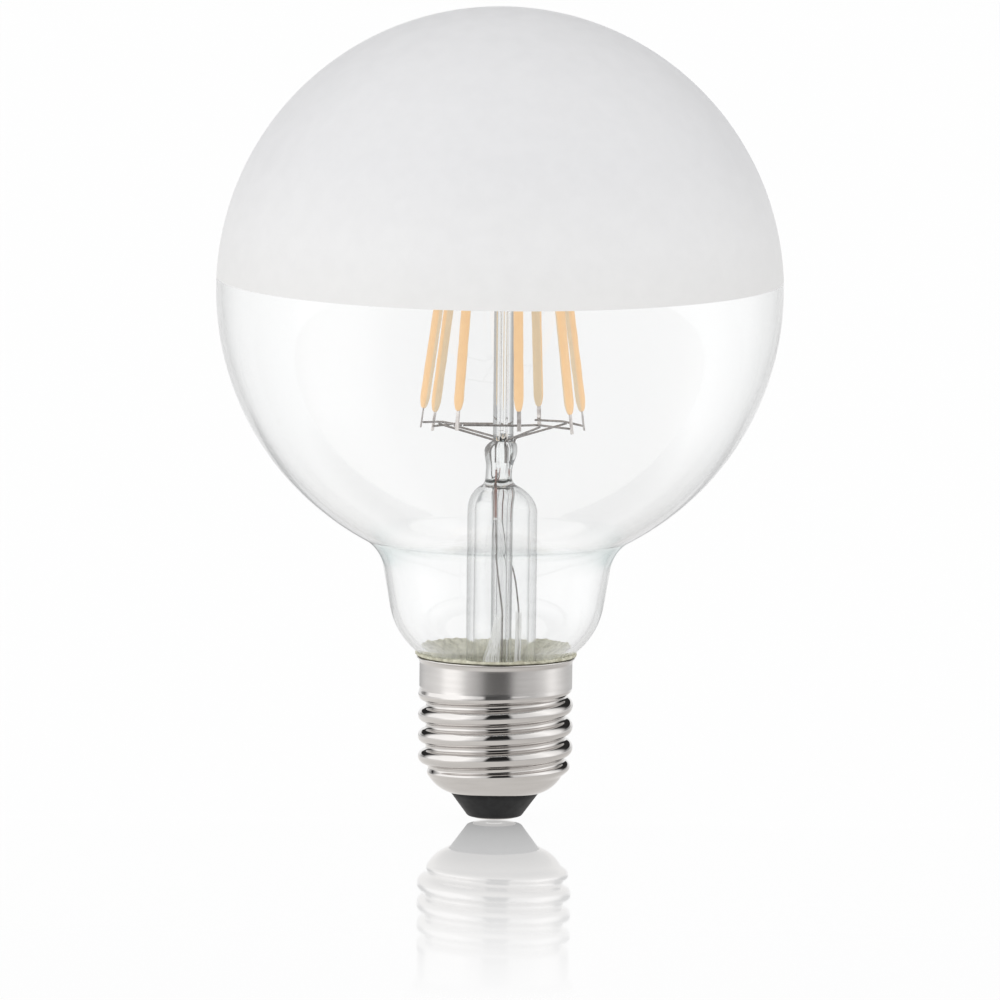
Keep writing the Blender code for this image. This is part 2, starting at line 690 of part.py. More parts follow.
def seal_wires(ceiling, joint, materials):
    """Copper-sheathed wires through the pinch, and the thin leads welded below them."""
    top = joint - BORE_BRIDGE / 2 - CLEARANCE
    foot = top - SEAL_WIRE_LENGTH
    ring = EXHAUST_RADIUS + 3 * CLEARANCE + LEAD_WIRE_RADIUS + SLEEVE_WALL
    for side, (seal_bearing, bend_bearing, foot_bearing) in SEAL_WIRES.items():
        wire(f"seal_wire_{side}", [at_stem(BORE_RING, seal_bearing, top),
                                   at_stem(BORE_RING, seal_bearing, foot)],
             WIRE_RADIUS, materials["copper"])
        weld = at_stem(BORE_RING, seal_bearing, foot - CLEARANCE)
        bend = at_stem(ring, bend_bearing, LEAD_BEND_HEIGHT)
        straight = at_stem(ring, foot_bearing, SLEEVE_TOP + CLEARANCE)
        end = at_stem(ring, foot_bearing, BOARD_TOP + CLEARANCE)
        wire(f"lead_wire_{side}", [*eased([weld, bend, straight], 3), end],
             LEAD_WIRE_RADIUS, materials["nickel"])

        bore = LEAD_WIRE_RADIUS + CLEARANCE
        outside = bore + SLEEVE_WALL
        low = SLEEVE_TOP - SLEEVE_LENGTH
        rows = [(bore, low), (bore, SLEEVE_TOP), (outside, SLEEVE_TOP),
                (outside, (low + SLEEVE_TOP) / 2), (outside, low)]
        sleeve = turned(f"fibre_sleeve_{side}", rows, materials["fibre"], SMALL_SIDES,
                        closed=True, place=straight.xy)
        if side == "left":
            frozen(sleeve)
            for vertex in sleeve.data.vertices:
                fray = share(vertex.co.z, SLEEVE_TOP, low)
                if vertex.co.x < 0:
                    vertex.co.x *= 1 + (SLEEVE_SPREAD - 1) * fray


def driver(materials):
    """Round board wedged across the thread shell, with the parts that feed the cage."""
    board_radius = THREAD_ROOT_INNER - CLEARANCE
    turned("driver_board", [(0.0, BOARD_TOP), (board_radius, BOARD_TOP),
                            (board_radius, BOARD_HEIGHT), (0.0, BOARD_HEIGHT)],
           materials["board"], CAP_SIDES)
    seat = BOARD_TOP + CLEARANCE
    capacitor_top = seat + CAPACITOR_HEIGHT
    edge = CONTACT_EDGE * 2
    turned("smoothing_capacitor", [
        (0.0, capacitor_top), (CAPACITOR_RADIUS - edge, capacitor_top),
        (CAPACITOR_RADIUS, capacitor_top - edge), (CAPACITOR_RADIUS, seat), (0.0, seat),
    ], materials["sleeve"], SMALL_SIDES, place=(-CAPACITOR_ASIDE, 0.0))
    for name, side in (("rectifier", 1), ("driver_chip", -1)):
        box(name, (CHIP_LENGTH, CHIP_WIDTH, CHIP_HEIGHT),
            (CHIP_AHEAD, side * CHIP_ASIDE, seat + CHIP_HEIGHT / 2),
            materials["chip"])

    wire("contact_wire", [Vector((0, 0, CONTACT_FLOOR + CLEARANCE)),
                          Vector((0, 0, BOARD_HEIGHT - CLEARANCE))],
         SUPPLY_WIRE_RADIUS, materials["copper"])
    wall_side = THREAD_ROOT_INNER - CLEARANCE - SUPPLY_WIRE_RADIUS
    pad_side = wall_side - SHELL_WIRE_SETBACK
    direction = Vector((math.cos(SHELL_WIRE_BEARING), math.sin(SHELL_WIRE_BEARING), 0.0))
    shell_wire = [
        direction * radius + Vector((0, 0, height))
        for radius, height in ((pad_side, seat), (pad_side, seat + SHELL_WIRE_BEND),
                               (wall_side, seat + 2 * SHELL_WIRE_BEND),
                               (wall_side, SEAL_HEIGHT - SHELL_WIRE_DROP))
    ]
    wire("shell_wire", shell_wire, SUPPLY_WIRE_RADIUS, materials["copper"])


clear_scene()
parts = new_collection("globe_lamp")
cutters = new_collection("cutters")
finish = {
    "glass": principled("clear glass", (0.96, 0.99, 0.98), 0.03, transmission=1.0),
    "nickel": principled("nickel", (0.72, 0.70, 0.68), 0.22, metallic=1.0),
    "copper": principled("copper", (0.80, 0.45, 0.33), 0.35, metallic=1.0),
    "phosphor": principled("phosphor", (0.98, 0.62, 0.22), 0.55),
    "cement": principled("cement", (0.48, 0.47, 0.38), 0.9),
    "insulator": principled("black insulator", (0.03, 0.03, 0.03), 0.45),
    "fibre": principled("glass fibre", (0.85, 0.85, 0.82), 0.7),
    "board": principled("circuit board", (0.10, 0.30, 0.14), 0.6),
    "chip": principled("black resin", (0.03, 0.03, 0.03), 0.5),
    "sleeve": principled("capacitor sleeve", (0.06, 0.07, 0.10), 0.4),
}

cap_shell(finish["nickel"])
insulator_top = cap_insulator(finish["insulator"])
centre_contact(finish["nickel"], insulator_top)
cap_cement(finish["cement"])
glass_globe(finish["glass"])

ceiling, joint, pinch_top = stem_flare(finish["glass"])
exhaust_tube(finish["glass"], ceiling)
seal_wires(ceiling, joint, finish)

feet = {}
heads = {}
for number in FILAMENTS:
    feet[number], heads[number] = place_filament(number, pinch_top + CAGE_RISE, finish)
for number in BARS:
    bar_with_support(number, feet, joint, pinch_top, finish)
bead_height = sum(head.z for head in heads.values()) / len(heads)
sockets = anchor_sockets(heads, bead_height)
centre_post(finish["glass"], pinch_top + CLEARANCE, bead_height, sockets.values())
for number in LINKS:
    link_with_anchor(number, heads, sockets[number], finish)

driver(finish)
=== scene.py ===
"""Looks of a globe filament lamp: clear and matte glass, screw cap, stem and cage."""
import math
import random

import bmesh
import bpy
from mathutils import Matrix, Vector, noise


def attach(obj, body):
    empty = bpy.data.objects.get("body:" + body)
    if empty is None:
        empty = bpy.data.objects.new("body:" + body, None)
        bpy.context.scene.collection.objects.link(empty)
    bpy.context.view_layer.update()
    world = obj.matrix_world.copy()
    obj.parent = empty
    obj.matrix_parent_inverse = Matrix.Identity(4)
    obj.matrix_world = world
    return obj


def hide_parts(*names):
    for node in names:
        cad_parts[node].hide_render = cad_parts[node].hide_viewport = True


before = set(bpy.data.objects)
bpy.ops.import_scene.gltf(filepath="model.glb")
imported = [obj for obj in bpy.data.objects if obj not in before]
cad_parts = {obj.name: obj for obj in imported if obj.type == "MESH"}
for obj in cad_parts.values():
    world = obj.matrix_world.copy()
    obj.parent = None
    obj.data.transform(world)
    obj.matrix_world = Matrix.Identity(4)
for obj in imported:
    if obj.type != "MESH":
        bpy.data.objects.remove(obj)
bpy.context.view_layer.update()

# ---- Studio ----
# A long lens looks down on the lamp by seven degrees.  The floor is white acrylic with
# a mirror image that fades towards the camera.  White walls, a bright panel on the left
# and the dark of the room behind the camera stand all round.

elevation = math.radians(7.0)
aim = Vector((0.00038, 0.0, 0.05352))
bpy.ops.object.camera_add(location=aim + Vector((0, -4.9 * math.cos(elevation),
                                                 4.9 * math.sin(elevation))))
camera = bpy.context.object
turn = Matrix.Rotation(math.pi / 2 - elevation, 3, "X") @ Matrix.Rotation(math.radians(0.62), 3, "Z")
camera.rotation_euler = turn.to_euler()
camera.data.sensor_width = 36
camera.data.lens = 1053.8
camera.data.clip_end = 20
bpy.context.scene.camera = camera
bpy.context.scene.view_settings.view_transform = "Standard"


def feed(tree, socket, value):
    """Link a value into a socket, or set it there if it is a number or a colour."""
    if isinstance(value, bpy.types.NodeSocket):
        tree.links.new(value, socket)
    elif isinstance(value, tuple):
        socket.default_value = (*value, 1)
    else:
        socket.default_value = value


def sums(tree, operation, first, second):
    """One step of arithmetic on two numbers."""
    node = tree.nodes.new("ShaderNodeMath")
    node.operation = operation
    feed(tree, node.inputs[0], first)
    feed(tree, node.inputs[1], second)
    return node.outputs[0]


def between(tree, value, low, high, start=0.0, end=1.0, easing="LINEAR"):
    """A number that goes from start to end while the value goes from low to high."""
    node = tree.nodes.new("ShaderNodeMapRange")
    node.interpolation_type = easing
    for name, number in (("Value", value), ("From Min", low), ("From Max", high),
                         ("To Min", start), ("To Max", end)):
        feed(tree, node.inputs[name], number)
    return node.outputs["Result"]


def blend(tree, first, second, share, how="MIX"):
    """A colour that goes from the first to the second with the share."""
    node = tree.nodes.new("ShaderNodeMix")
    node.data_type = "RGBA"
    node.blend_type = how
    feed(tree, node.inputs["A"], first)
    feed(tree, node.inputs["B"], second)
    feed(tree, node.inputs["Factor"], share)
    return node.outputs["Result"]


def scaled(tree, colour, factor):
    """A colour made brighter or darker."""
    node = tree.nodes.new("ShaderNodeVectorMath")
    node.operation = "SCALE"
    feed(tree, node.inputs[0], colour)
    feed(tree, node.inputs["Scale"], factor)
    return node.outputs["Vector"]


def graded(tree, value, stops):
    """A colour, or a level of grey, that follows stops along a value from 0 to 1."""
    node = tree.nodes.new("ShaderNodeValToRGB")
    while len(node.color_ramp.elements) < len(stops):
        node.color_ramp.elements.new(0.5)
    for element, (place, level) in zip(node.color_ramp.elements, stops):
        element.position = place
        element.color = (*level, 1) if isinstance(level, tuple) else (level, level, level, 1)
    feed(tree, node.inputs["Fac"], value)
    return node.outputs["Color"]


def laid_over(tree, under_it, over_it, share):
    """One shader over another."""
    node = tree.nodes.new("ShaderNodeMixShader")
    feed(tree, node.inputs["Fac"], share)
    feed(tree, node.inputs[1], under_it)
    feed(tree, node.inputs[2], over_it)
    return node.outputs[0]


# Half of the brightness all round the lamp, each stop a share of the way from straight
# behind it by its left side and the camera: what metal sees low down and higher up, and
# what is seen through glass.
around = bpy.data.node_groups.new("studio_round", "ShaderNodeTree")
around.interface.new_socket("Direction", in_out="INPUT", socket_type="NodeSocketVector")
around.interface.new_socket("Mirrored", in_out="OUTPUT", socket_type="NodeSocketColor")
around.interface.new_socket("Above", in_out="OUTPUT", socket_type="NodeSocketColor")
around.interface.new_socket("Through", in_out="OUTPUT", socket_type="NodeSocketColor")
entry = around.nodes.new("NodeGroupInput")
leave = around.nodes.new("NodeGroupOutput")
parts_of = around.nodes.new("ShaderNodeSeparateXYZ")
around.links.new(entry.outputs["Direction"], parts_of.inputs[0])
bearing = sums(around, "ARCTAN2", parts_of.outputs["X"],
               sums(around, "MULTIPLY", parts_of.outputs["Y"], -1.0))
share_round = between(around, bearing, -math.pi, math.pi)
for output, stops in (
        ("Mirrored", ((0.00, 0.26), (0.08, 0.26), (0.13, 0.44), (0.184, 0.48), (0.248, 0.57),
                      (0.28, 0.80), (0.325, 0.82), (0.352, 0.70), (0.38, 0.42), (0.425, 0.265),
                      (0.447, 0.15), (0.465, 0.05), (0.51, 0.03), (0.545, 0.035), (0.562, 0.13),
                      (0.577, 0.285), (0.60, 0.335), (0.66, 0.365), (0.71, 0.50), (0.742, 0.69),
                      (0.765, 0.69), (0.79, 0.58), (0.82, 0.485), (0.864, 0.385), (0.93, 0.31),
                      (1.00, 0.30))),
        ("Above", ((0.00, 0.015), (0.115, 0.015), (0.145, 0.40), (0.17, 0.70), (0.24, 0.74),
                   (0.36, 0.78), (0.42, 0.50), (0.445, 0.45), (0.462, 0.012), (0.555, 0.012),
                   (0.575, 0.46), (0.66, 0.56), (0.74, 0.78), (0.82, 0.60), (0.85, 0.28),
                   (0.868, 0.05), (0.885, 0.015), (1.00, 0.015))),
        ("Through", ((0.00, 0.50), (0.060, 0.50), (0.078, 0.32), (0.10, 0.20), (0.16, 0.10),
                     (0.30, 0.07), (0.50, 0.05), (0.70, 0.15), (0.84, 0.20), (0.90, 0.22),
                     (0.922, 0.32), (0.940, 0.50), (1.00, 0.50)))):
    around.links.new(scaled(around, graded(around, share_round, stops), 2.0), leave.inputs[output])

# The walls.  The camera sees them white.  What metal sees, what is seen through glass,
# and what a ray sees that was mirrored inside the globe first, are graded apart.
world = bpy.data.worlds.new("studio")
bpy.context.scene.world = world
world.use_nodes = True
sky = world.node_tree
sky.nodes["Background"].inputs["Strength"].default_value = 1.0
direction = sky.nodes.new("ShaderNodeTexCoord").outputs["Generated"]
wall = sky.nodes.new("ShaderNodeGroup")
wall.node_tree = around
ray = sky.nodes.new("ShaderNodeLightPath")
height = sky.nodes.new("ShaderNodeSeparateXYZ")
sky.links.new(direction, wall.inputs["Direction"])
sky.links.new(direction, height.inputs[0])
low_down = between(sky, height.outputs["Z"], 0.165, 0.145)
steep = between(sky, height.outputs["Z"], 0.45, 0.65)
overhead = between(sky, height.outputs["Z"], 0.95, 0.99)
mirrored = blend(sky, wall.outputs["Above"], wall.outputs["Through"], low_down, "LIGHTEN")
mirrored = blend(sky, mirrored, (0.80, 0.80, 0.80), overhead)
through = blend(sky, (0.16, 0.17, 0.18), wall.outputs["Through"], low_down)
through = blend(sky, through, (0.80, 0.80, 0.80), overhead)
inside = blend(sky, (0.92, 0.92, 0.92), wall.outputs["Mirrored"], 0.5)
inside = blend(sky, inside, (0.12, 0.12, 0.12), steep)
inside = blend(sky, inside, (0.42, 0.42, 0.42), overhead)
through = blend(sky, through, inside, ray.outputs["Glossy Depth"])
wall_tone = blend(sky, (0.83, 0.83, 0.84), mirrored, ray.outputs["Is Glossy Ray"])
wall_tone = blend(sky, wall_tone, through, ray.outputs["Is Transmission Ray"])
wall_tone = blend(sky, wall_tone, (1, 1, 1), ray.outputs["Is Camera Ray"])
sky.links.new(wall_tone, sky.nodes["Background"].inputs["Color"])

# The floor.  Metal sees a bright table near the lamp and the walls' foot farther off, a
# little paler straight behind; the mirror image sees the lamp's own shade under it.
bpy.ops.object.select_all(action="DESELECT")
bpy.ops.mesh.primitive_plane_add(size=12, location=(0, 0, -0.00045))
floor = bpy.context.object
floor.name = "studio_floor"
acrylic = bpy.data.materials.new("white acrylic")
acrylic.use_nodes = True
tree = acrylic.node_tree
tree.nodes.remove(tree.nodes["Principled BSDF"])
spot = tree.nodes.new("ShaderNodeTexCoord").outputs["Object"]
split = tree.nodes.new("ShaderNodeSeparateXYZ")
reach = tree.nodes.new("ShaderNodeVectorMath")
reach.operation = "LENGTH"
foot_of_wall = tree.nodes.new("ShaderNodeGroup")
foot_of_wall.node_tree = around
ray = tree.nodes.new("ShaderNodeLightPath")
tree.links.new(spot, split.inputs[0])
tree.links.new(spot, reach.inputs[0])
tree.links.new(spot, foot_of_wall.inputs["Direction"])
distance = reach.outputs["Value"]
seen_again = between(tree, ray.outputs["Glossy Depth"], 1.0, 2.0, 1.0, 0.45)
table = blend(tree, (1.00, 0.985, 0.96), (0.72, 0.70, 0.68),
              between(tree, split.outputs["X"], -0.06, 0.06))
table = scaled(tree, table, between(tree, distance, 0.008, 0.026, seen_again))
straight_behind = between(tree, sums(tree, "DIVIDE", split.outputs["Y"], distance), 0.70, 0.87)
beside_ring = graded(tree, distance, ((0.155, 1.0), (0.172, 0.0), (0.222, 0.0), (0.245, 1.0)))
farther = blend(tree, foot_of_wall.outputs["Mirrored"], (0.96, 0.96, 0.96),
                sums(tree, "MULTIPLY", straight_behind, beside_ring), "LIGHTEN")
table = blend(tree, table, farther, between(tree, distance, 0.06, 0.15, easing="SMOOTHSTEP"))
inside = blend(tree, (0.92, 0.92, 0.92), foot_of_wall.outputs["Mirrored"], 0.5)
through = blend(tree, foot_of_wall.outputs["Through"], inside, ray.outputs["Glossy Depth"])
floor_tone = blend(tree, table, through, ray.outputs["Is Transmission Ray"])
floor_tone = blend(tree, floor_tone, (1, 1, 1), ray.outputs["Is Camera Ray"])
glow = tree.nodes.new("ShaderNodeEmission")
lit = tree.nodes.new("ShaderNodeBsdfDiffuse")
lit.inputs["Color"].default_value = (0.9, 0.9, 0.9, 1)
mirror = tree.nodes.new("ShaderNodeBsdfGlossy")
mirror.inputs["Roughness"].default_value = 0.03
mirror.inputs["Color"].default_value = (1, 1, 1, 1)
tree.links.new(floor_tone, glow.inputs["Color"])
seen = sums(tree, "MAXIMUM", ray.outputs["Is Camera Ray"], ray.outputs["Is Glossy Ray"])
seen = sums(tree, "MAXIMUM", seen, ray.outputs["Is Transmission Ray"])
body = laid_over(tree, lit.outputs[0], glow.outputs[0], sums(tree, "MULTIPLY", seen, 0.92))
fade = graded(tree, between(tree, split.outputs["Y"], -0.24, 0.0), [
    ((metres + 0.24) / 0.24, level) for metres, level in (
        (-0.240, 0.0), (-0.210, 0.02), (-0.181, 0.065), (-0.140, 0.175), (-0.115, 0.27),
        (-0.090, 0.35), (-0.060, 0.41), (-0.037, 0.442), (-0.022, 0.494), (-0.011, 0.556),
        (-0.003, 0.63))])
surface = laid_over(tree, body, mirror.outputs[0],
                    sums(tree, "MULTIPLY", fade, ray.outputs["Is Camera Ray"]))
tree.links.new(surface, tree.nodes["Material Output"].inputs["Surface"])
floor.data.materials.append(acrylic)

bpy.ops.object.light_add(type="AREA", location=(-0.9, -1.5, 1.2))
key_lamp = bpy.context.object
key_lamp.name = "left_softbox"
key_lamp.data.size = 1.1
key_lamp.data.energy = 5.0
key_lamp.visible_glossy = False
key_lamp.visible_transmission = False
key_lamp.rotation_euler = (aim - key_lamp.location).to_track_quat("-Z", "Y").to_euler()

# ---- Globe ----
# Blown soda glass, one piece from the crown to the seal inside the cap.  Above a level
# ring, just over the widest part, it is sprayed matte white.  The wall is a millimetre.

globe_centre = 0.08885
globe_radius = 0.0475
frost_ring = 0.09083


def start_profile(name, radius, height):
    """Begin a profile in the plane of X and Z with a single point."""
    bpy.ops.object.select_all(action="DESELECT")
    bpy.ops.mesh.primitive_circle_add(vertices=3, radius=0.0001, location=(radius, 0, height))
    bpy.ops.object.transform_apply(location=True, rotation=False, scale=False)
    bpy.context.object.name = name
    bpy.context.object.data.name = name
    bpy.ops.object.mode_set(mode="EDIT")
    bpy.ops.mesh.select_all(action="SELECT")
    bpy.ops.mesh.merge(type="CENTER")


def profile_end():
    """Where the profile's last point is now."""
    shape = bmesh.from_edit_mesh(bpy.context.object.data)
    return next(vertex.co.copy() for vertex in shape.verts if vertex.select)


def line_to(radius, height, pieces=1):
    """Pull the profile's last point out in a straight line."""
    end = profile_end()
    for _ in range(pieces):
        bpy.ops.mesh.extrude_region_move(TRANSFORM_OT_translate={
            "value": ((radius - end.x) / pieces, 0, (height - end.z) / pieces)})


def arc(centre_radius, centre_height, degrees, pieces):
    """Carry the last point round a centre; positive turns from +X up towards +Z."""
    bpy.ops.mesh.spin(steps=pieces, angle=math.radians(degrees),
                      center=(centre_radius, 0, centre_height), axis=(0, 1, 0))


def bend(bend_radius, heading, new_heading, pieces):
    """Turn the walk in degrees from straight up, outwards positive; return the new one."""
    end = profile_end()
    reach = math.copysign(bend_radius, new_heading - heading)
    angle = math.radians(heading)
    arc(end.x + reach * math.cos(angle), end.z - reach * math.sin(angle),
        heading - new_heading, pieces)
    return new_heading


def finish_spin(sides, centre=(0.0, 0.0)):
    """Revolve the whole profile, close its seam and poles, and turn the faces outwards."""
    bpy.ops.mesh.select_all(action="SELECT")
    bpy.ops.mesh.spin(steps=sides, angle=2 * math.pi, center=(*centre, 0), axis=(0, 0, 1))
    bpy.ops.mesh.select_all(action="SELECT")
    bpy.ops.mesh.remove_doubles(threshold=0.000002)
    bpy.ops.mesh.normals_make_consistent(inside=False)
    bpy.ops.object.mode_set(mode="OBJECT")
    bpy.ops.object.shade_smooth()
    return bpy.context.object


def add_wall(piece, thickness):
    """Give a turned skin its wall, inwards."""
    wall = piece.modifiers.new("wall", "SOLIDIFY")
    wall.thickness = thickness
    wall.offset = -1
    wall.use_even_offset = True
    bpy.context.view_layer.objects.active = piece
    bpy.ops.object.modifier_apply(modifier=wall.name)


def eased_share(value, low, high):
    """How far a value has come from low to high, eased at both ends."""
    part = min(max((value - low) / (high - low), 0.0), 1.0)
    return part * part * (3 - 2 * part)


neck_cosine = math.cos(math.radians(9.7))
neck_top = (0.018992, 0.042077)
shoulder_end = math.degrees(math.acos((neck_top[0] + 0.0070 * neck_cosine) / (globe_radius + 0.0070)))
start_profile("globe", 0.01039, 0.018427)
line_to(0.01039, 0.024495, 6)
walk = bend(0.0022, 0, 50, 10)
end = profile_end()
line_to(end.x + 0.0030 * math.sin(math.radians(50)), end.z + 0.0030 * math.cos(math.radians(50)), 6)
walk = bend(0.0130, walk, 9.7, 20)
end = profile_end()
line_to(end.x + 0.00629 * math.sin(math.radians(9.7)), end.z + 0.00629 * neck_cosine, 8)
walk = bend(0.0070, walk, shoulder_end, 22)
to_ring = math.degrees(math.asin((frost_ring - globe_centre) / globe_radius)) + shoulder_end
arc(0, globe_centre, to_ring, 44)
arc(0, globe_centre, 90 - (to_ring - shoulder_end), 64)
globe = finish_spin(160)
add_wall(globe, 0.0010)


def open_to_light(material, share):
    """Let this share of the lamps' and the walls' light past, on to the pieces behind."""
    tree = material.node_tree
    ray = tree.nodes.new("ShaderNodeLightPath")
    way = tree.nodes.new("ShaderNodeBsdfTransparent")
    lighting = sums(tree, "MAXIMUM", ray.outputs["Is Shadow Ray"], ray.outputs["Is Diffuse Ray"])
    surface = laid_over(tree, tree.nodes["Principled BSDF"].outputs[0], way.outputs[0],
                        sums(tree, "MULTIPLY", lighting, share))
    tree.links.new(surface, tree.nodes["Material Output"].inputs["Surface"])


def blown_glass(name, density, edge_colour, keenness, heights):
    """Clear glass with faint ripples, tinted edge-on at heights in tenths of a metre."""
    material = bpy.data.materials.new(name)
    material.use_nodes = True
    tree = material.node_tree
    shader = tree.nodes["Principled BSDF"]
    shader.inputs["Transmission Weight"].default_value = 1.0
    shader.inputs["IOR"].default_value = 1.50
    shader.inputs["Roughness"].default_value = 0.0
    where = tree.nodes.new("ShaderNodeTexCoord").outputs["Object"]
    waves = tree.nodes.new("ShaderNodeTexNoise")
    waves.inputs["Scale"].default_value = 60
    waves.inputs["Detail"].default_value = 1
    ripple = tree.nodes.new("ShaderNodeBump")
    ripple.inputs["Strength"].default_value = 0.03
    ripple.inputs["Distance"].default_value = 0.001
    depth = tree.nodes.new("ShaderNodeVolumeAbsorption")
    depth.inputs["Color"].default_value = (0.30, 0.66, 0.62, 1)
    depth.inputs["Density"].default_value = density
    upright = tree.nodes.new("ShaderNodeSeparateXYZ")
    edge_on = tree.nodes.new("ShaderNodeLayerWeight")
    edge_on.inputs["Blend"].default_value = 0.5
    tree.links.new(where, waves.inputs["Vector"])
    tree.links.new(where, upright.inputs[0])
    here = graded(tree, sums(tree, "MULTIPLY", upright.outputs["Z"], 10), heights)
    tinted = sums(tree, "MULTIPLY", here, sums(tree, "POWER", edge_on.outputs["Facing"], keenness))
    tree.links.new(blend(tree, (1, 1, 1), edge_colour, tinted), shader.inputs["Base Color"])
    tree.links.new(waves.outputs["Fac"], ripple.inputs["Height"])
    tree.links.new(ripple.outputs["Normal"], shader.inputs["Normal"])
    tree.links.new(depth.outputs[0], tree.nodes["Material Output"].inputs["Volume"])
    open_to_light(material, 1.0)
    return material


grain = bpy.data.node_groups.new("surface_grain", "ShaderNodeTree")
grain.interface.new_socket("Vector", in_out="INPUT", socket_type="NodeSocketVector")
grain.interface.new_socket("Scale", in_out="INPUT", socket_type="NodeSocketFloat")
grain.interface.new_socket("Bump", in_out="INPUT", socket_type="NodeSocketFloat")
grain.interface.new_socket("Mask", in_out="OUTPUT", socket_type="NodeSocketFloat")
grain.interface.new_socket("Normal", in_out="OUTPUT", socket_type="NodeSocketVector")
entry = grain.nodes.new("NodeGroupInput")
leave = grain.nodes.new("NodeGroupOutput")
speckle = grain.nodes.new("ShaderNodeTexNoise")
speckle.inputs["Detail"].default_value = 5
speckle.inputs["Roughness"].default_value = 0.6
relief = grain.nodes.new("ShaderNodeBump")
relief.inputs["Distance"].default_value = 0.0004
grain.links.new(entry.outputs["Vector"], speckle.inputs["Vector"])
grain.links.new(entry.outputs["Scale"], speckle.inputs["Scale"])
grain.links.new(entry.outputs["Bump"], relief.inputs["Strength"])
grain.links.new(speckle.outputs["Fac"], relief.inputs["Height"])
grain.links.new(speckle.outputs["Fac"], leave.inputs["Mask"])
grain.links.new(relief.outputs["Normal"], leave.inputs["Normal"])


def grained(name, colour, other, roughness, scale, bump, metallic=0.0, stretch=(1, 1, 1)):
    """A material that wanders between two colours, with a fine relief."""
    material = bpy.data.materials.new(name)
    material.use_nodes = True
    tree = material.node_tree
    shader = tree.nodes["Principled BSDF"]
    shader.inputs["Metallic"].default_value = metallic
    where = tree.nodes.new("ShaderNodeTexCoord")
    mapping = tree.nodes.new("ShaderNodeMapping")
    mapping.inputs["Scale"].default_value = stretch
    fine = tree.nodes.new("ShaderNodeGroup")
    fine.node_tree = grain
    fine.inputs["Scale"].default_value = scale
    fine.inputs["Bump"].default_value = bump
    mask = fine.outputs["Mask"]
    tree.links.new(where.outputs["Object"], mapping.inputs["Vector"])
    tree.links.new(mapping.outputs["Vector"], fine.inputs["Vector"])
    tree.links.new(blend(tree, colour, other, between(tree, mask, 0.35, 0.65)),
                   shader.inputs["Base Color"])
    tree.links.new(between(tree, mask, 0.0, 1.0, roughness * 0.8, min(roughness * 1.2, 1.0)),
                   shader.inputs["Roughness"])
    tree.links.new(fine.outputs["Normal"], shader.inputs["Normal"])
    return material


clear_glass = blown_glass("clear glass", 7, (0.20, 0.46, 0.46), 3.5, (
    (0.0, 0.0), (0.420, 0.0), (0.438, 1.0), (0.464, 1.0), (0.482, 0.0)))
matte_white = grained("matte white coat", (0.905, 0.905, 0.905), (0.925, 0.925, 0.925), 0.55, 300, 0.01)
tree = matte_white.node_tree
shader = tree.nodes["Principled BSDF"]
upright = tree.nodes.new("ShaderNodeSeparateXYZ")
tree.links.new(tree.nodes["Texture Coordinate"].outputs["Object"], upright.inputs[0])
# Painted shading: the coat is painted brighter and warmer just over the frost ring and greyer towards the
# crown.
dome_painted_shading = graded(tree, between(tree, upright.outputs["Z"], frost_ring, 0.1364), (
    (0.0, (1.0, 0.995, 0.975)), (0.2, (1.0, 0.998, 0.99)),
    (0.5, (0.94, 0.94, 0.943)), (1.0, (0.925, 0.925, 0.928))))
plain_coat = shader.inputs["Base Color"].links[0].from_socket
tree.links.new(blend(tree, plain_coat, dome_painted_shading, 1.0, "MULTIPLY"), shader.inputs["Base Color"])
open_to_light(matte_white, 0.6)
globe.data.materials.append(clear_glass)
globe.data.materials.append(matte_white)
for face in globe.data.polygons:
    if face.center.z > frost_ring:
        face.material_index = 1
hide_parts("glass_globe")
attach(globe, "root")

# ---- Cement ----
# A ring of greenish beige cement, pressed up between the neck and the cap's band, so
# that its rough edge shows above the lip and through the glass.

start_profile("cement", 0.01049, 0.0225)
line_to(0.01049, 0.02446, 4)
walk = bend(0.0021, 0, 50, 6)
line_to(0.01270, 0.02738, 8)
line_to(0.01320, 0.02783, 2)
line_to(0.01336, 0.02764, 1)
line_to(0.01335, 0.02744, 1)
line_to(0.01321, 0.02739, 1)
line_to(0.01304, 0.02768, 2)
line_to(0.01262, 0.02736, 3)
line_to(0.01232, 0.02697, 2)
line_to(0.01207, 0.0261, 3)
line_to(0.01207, 0.0225, 6)
line_to(0.01049, 0.0225, 3)
cement = finish_spin(200)
for vertex in cement.data.vertices:
    radius = math.hypot(vertex.co.x, vertex.co.y)
    if vertex.co.z > 0.0270:
        lump = noise.noise(vertex.co * 420) + 0.6 * noise.noise(vertex.co * 1300)
        push = 0.0004 * max(lump + 0.15, 0.0) * (1 if radius > 0.0131 else 0.6)
        vertex.co.z += push if vertex.co.z > 0.0275 else 0.0
        vertex.co.xy *= 1 + 0.7 * push / radius
cement.data.materials.append(grained("cement", (0.86, 0.84, 0.68), (0.48, 0.46, 0.34), 0.9, 900, 1.0))
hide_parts("cap_cement")
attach(cement, "root")

# ---- Cap shell ----
# One sheet of nickel-plated brass: lip, smooth band, rolled right-hand thread and the
# curved bowl with its hole for the insulator.

thread_mean = 0.011955
band_foot = 0.0222
thread_foot = 0.0109969
start_profile("screw_shell", 0.0076, 0.00465)
walk = bend(0.005466, 73.4, 44, 12)
walk = bend(0.0070592, walk, 0, 52)
line_to(thread_mean, band_foot, 112)
line_to(0.01245, band_foot + 0.0002)
line_to(0.01245, 0.0273 - 0.00123, 10)
walk = bend(0.00142, 0, 60, 8)
screw_shell = finish_spin(180)

